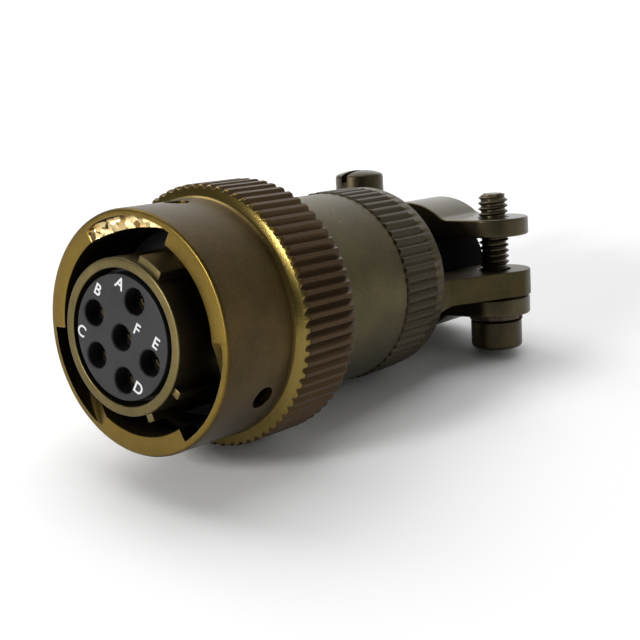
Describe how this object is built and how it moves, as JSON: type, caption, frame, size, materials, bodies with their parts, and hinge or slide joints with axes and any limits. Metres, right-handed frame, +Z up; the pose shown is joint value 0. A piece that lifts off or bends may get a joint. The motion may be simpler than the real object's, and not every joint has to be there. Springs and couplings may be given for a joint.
{
  "type": "circular connector plug",
  "caption": "Cable plug with a turning bayonet coupling nut, keyed nose, socket insert, smooth endbell and a clamp with two arched saddles on a rubber bushing.",
  "frame": {"origin": "on the connector's axis in the plane of the coupling nut's front face, where the middle contact's bore begins", "axes": "+Y along the connector's axis towards the cable, -Y towards the mating half, +Z up as it lies with the clamp's screws nearly upright"},
  "size_m": [0.0341, 0.067, 0.0314],
  "materials": {
    "olive_shell": "satin olive plating on aluminium",
    "worn_nut": "satin olive plating, worn golden on the edges",
    "insert_plastic": "dark moulded plastic",
    "contact_gold": "gold plating",
    "seal_rubber": "matt black rubber",
    "grommet_rubber": "matt rubber",
    "bushing_rubber": "matt dark rubber",
    "spring_steel": "bright",
    "screw_steel": "plated, slightly yellow",
    "saddle_metal": "satin olive plating"
  },
  "bodies": {
    "root": {"plug_shell": "olive_shell", "face_seal": "seal_rubber", "wave_spring": "spring_steel", "retaining_ring": "spring_steel", "socket_insert": "insert_plastic", "insert_retaining_ring": "spring_steel", "wire_grommet": "grommet_rubber", "grommet_follower": "insert_plastic", "endbell": "olive_shell", "clamp_body": "olive_shell", "lower_saddle": "saddle_metal", "cable_bushing": "bushing_rubber", "near_lock_washer": "spring_steel", "contact_a": "contact_gold", "contact_b": "contact_gold", "contact_c": "contact_gold", "contact_d": "contact_gold", "contact_e": "contact_gold", "contact_f": "contact_gold"},
    "nut_carrier": {"thrust_washer": "spring_steel"},
    "nut": {"coupling_nut": "worn_nut"},
    "upper_clamp": {"upper_saddle": "saddle_metal", "far_lock_washer": "spring_steel"},
    "near_screw": {"near_clamp_screw": "screw_steel"},
    "far_screw": {"far_clamp_screw": "screw_steel"}
  },
  "joints": [
    {"name": "nut_float", "type": "slide", "parent": "root", "child": "nut_carrier", "axis": [0, -1, 0], "range_m": [0, 0.0006], "stiffness_N_per_m": 3000, "springref_m": -0.0005, "deforming": ["wave_spring"]},
    {"name": "nut_spin", "type": "hinge", "parent": "nut_carrier", "child": "nut", "pos_m": [0, 0.0137, 0], "axis": [0, 1, 0], "continuous": true},
    {"name": "near_screw_turn", "type": "hinge", "parent": "root", "child": "near_screw", "pos_m": [0.01145, 0.05903, 0.00141], "axis": [-0.1219, 0, 0.9925], "range_deg": [-1355, 1805]},
    {"name": "saddle_close", "type": "slide", "parent": "root", "child": "upper_clamp", "axis": [0.1219, 0, -0.9925], "range_m": [-0.00298, 0.00398], "deforming": ["cable_bushing"]},
    {"name": "far_screw_turn", "type": "hinge", "parent": "upper_clamp", "child": "far_screw", "pos_m": [-0.01145, 0.05903, -0.00141], "axis": [0.1219, 0, -0.9925], "range_deg": [-1355, 1805]}
  ],
  "couplings": [
    {"joint": "near_screw_turn", "follows": "saddle_close", "rad_per_m": 7913.3},
    {"joint": "far_screw_turn", "follows": "saddle_close", "rad_per_m": 7913.3}
  ]
}
